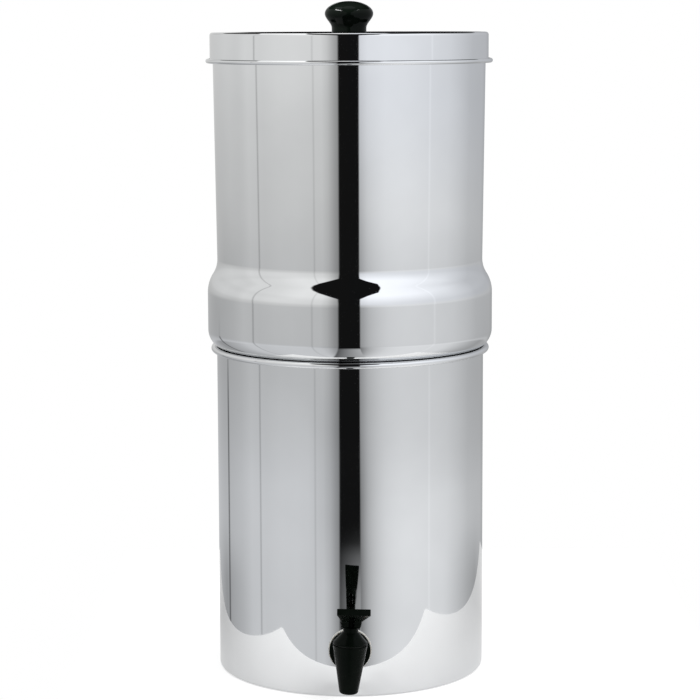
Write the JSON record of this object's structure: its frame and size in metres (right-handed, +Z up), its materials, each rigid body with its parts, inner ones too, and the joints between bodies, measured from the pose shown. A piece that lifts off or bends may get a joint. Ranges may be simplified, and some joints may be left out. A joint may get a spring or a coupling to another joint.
{
  "type": "gravity water filter",
  "caption": "Free-standing gravity water filter: an upper steel chamber with ceramic candles seated on a lower chamber with a lever tap, under a lid with a knob.",
  "frame": {"origin": "centre of the lower chamber's base, on the surface it stands on", "axes": "+Z up along the chambers' axis, -Y towards the tap, +X to the right as seen from the tap's side"},
  "size_m": [0.23, 0.2961, 0.54],
  "materials": {
    "polished_steel": "mirror-polished stainless steel",
    "knob_plastic": "gloss moulded phenolic",
    "tap_plastic": "satin-gloss moulded polypropylene",
    "silicone": "translucent silicone",
    "black_rubber": "nitrile rubber",
    "bright_steel": "drawn stainless wire and bar",
    "ceramic": "unglazed porous ceramic",
    "carbon": "packed activated carbon",
    "white_plastic": "moulded polypropylene"
  },
  "bodies": {
    "base": {"lower_chamber": "polished_steel", "tap_body": "tap_plastic", "tap_bonnet": "tap_plastic", "bonnet_gasket": "silicone", "outer_washer": "silicone", "inner_washer": "silicone", "tap_nut": "tap_plastic", "spindle_o_ring": "black_rubber", "return_spring": "bright_steel"},
    "valve": {"valve_cup": "silicone"},
    "spindle": {"valve_spindle": "tap_plastic"},
    "handle": {"tap_lever": "tap_plastic", "lever_pin": "bright_steel"},
    "upper": {"upper_chamber": "polished_steel", "candle_shell_1": "ceramic", "candle_core_1": "carbon", "candle_cup_1": "white_plastic", "candle_washer_1": "silicone", "candle_wing_nut_1": "white_plastic", "candle_shell_2": "ceramic", "candle_core_2": "carbon", "candle_cup_2": "white_plastic", "candle_washer_2": "silicone", "candle_wing_nut_2": "white_plastic", "candle_shell_3": "ceramic", "candle_core_3": "carbon", "candle_cup_3": "white_plastic", "candle_washer_3": "silicone", "candle_wing_nut_3": "white_plastic", "candle_shell_4": "ceramic", "candle_core_4": "carbon", "candle_cup_4": "white_plastic", "candle_washer_4": "silicone", "candle_wing_nut_4": "white_plastic"},
    "cover": {"lid": "polished_steel", "lid_knob": "knob_plastic", "knob_screw": "bright_steel", "knob_washer": "silicone"}
  },
  "joints": [
    {"name": "chamber_lift", "type": "slide", "parent": "base", "child": "upper", "axis": [0, 0, 1], "range_m": [0, 0.1]},
    {"name": "lid_lift", "type": "slide", "parent": "upper", "child": "cover", "axis": [0, 0, 1], "range_m": [0, 0.1]},
    {"name": "stem_lift", "type": "slide", "parent": "base", "child": "valve", "axis": [0.0349, 0, 0.9994], "range_m": [0, 0.0028], "deforming": ["return_spring"]},
    {"name": "handle_swivel", "type": "hinge", "parent": "valve", "child": "spindle", "pos_m": [0, -0.141, 0.038], "axis": [0.0349, 0, 0.9994], "range_deg": [-93, 87]},
    {"name": "handle_tilt", "type": "hinge", "parent": "spindle", "child": "handle", "pos_m": [0.00116, -0.141, 0.07118], "axis": [0.998, 0.0523, -0.0349], "range_deg": [0, 40], "stiffness_Nm_per_rad": 0.0112, "springref_deg": -42.97}
  ],
  "couplings": [
    {"joint": "stem_lift", "follows": "handle_tilt", "m_per_rad": 0.004}
  ]
}
